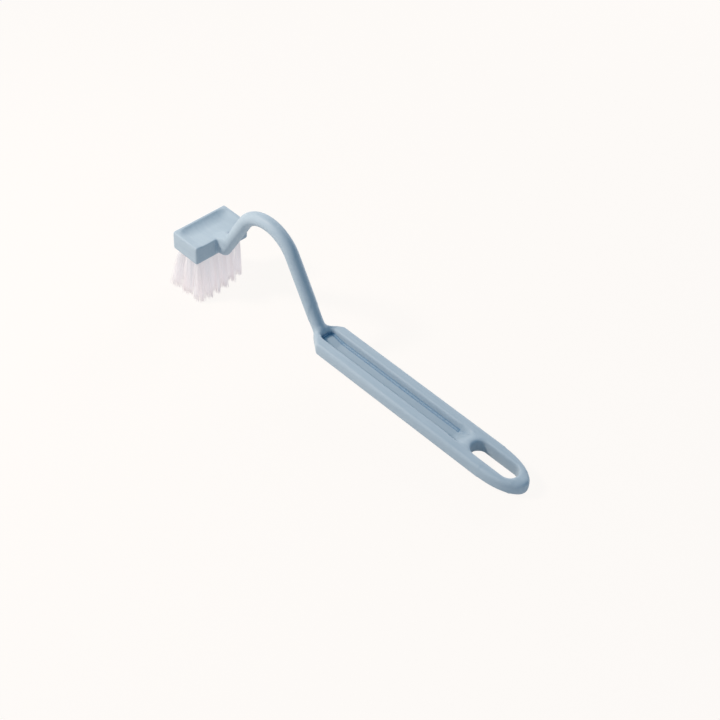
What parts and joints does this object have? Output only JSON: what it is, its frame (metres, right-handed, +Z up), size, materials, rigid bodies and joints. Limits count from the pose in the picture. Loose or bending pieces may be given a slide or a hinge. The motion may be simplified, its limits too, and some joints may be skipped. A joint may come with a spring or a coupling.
{
  "type": "toilet brush",
  "caption": "Bent-neck toilet brush: a small block head of white nylon tufts on a round arched neck, with a flat grooved grip and a hang slot at its end.",
  "frame": {"origin": "middle of the brush's box, on the surface it lies on", "axes": "+X along the brush from the head to the grip's hang slot, +Y across the head, +Z up from the surface that the bristle tips and the grip's heel lie on"},
  "size_m": [0.2052, 0.0308, 0.0581],
  "materials": {
    "blue_plastic": "satin moulded polypropylene, pale grey-blue",
    "nylon": "translucent white nylon filament",
    "anchor_wire": "bright flat wire"
  },
  "bodies": {
    "root": {"handle": "blue_plastic", "bristle_row_back": "nylon", "bristle_row_middle": "nylon", "bristle_row_front": "nylon", "tuft_anchor_01": "anchor_wire", "tuft_anchor_02": "anchor_wire", "tuft_anchor_03": "anchor_wire", "tuft_anchor_04": "anchor_wire", "tuft_anchor_05": "anchor_wire", "tuft_anchor_06": "anchor_wire", "tuft_anchor_07": "anchor_wire", "tuft_anchor_08": "anchor_wire", "tuft_anchor_09": "anchor_wire", "tuft_anchor_10": "anchor_wire", "tuft_anchor_11": "anchor_wire", "tuft_anchor_12": "anchor_wire", "tuft_anchor_13": "anchor_wire", "tuft_anchor_14": "anchor_wire", "tuft_anchor_15": "anchor_wire", "tuft_anchor_16": "anchor_wire", "tuft_anchor_17": "anchor_wire", "tuft_anchor_18": "anchor_wire"}
  },
  "joints": []
}
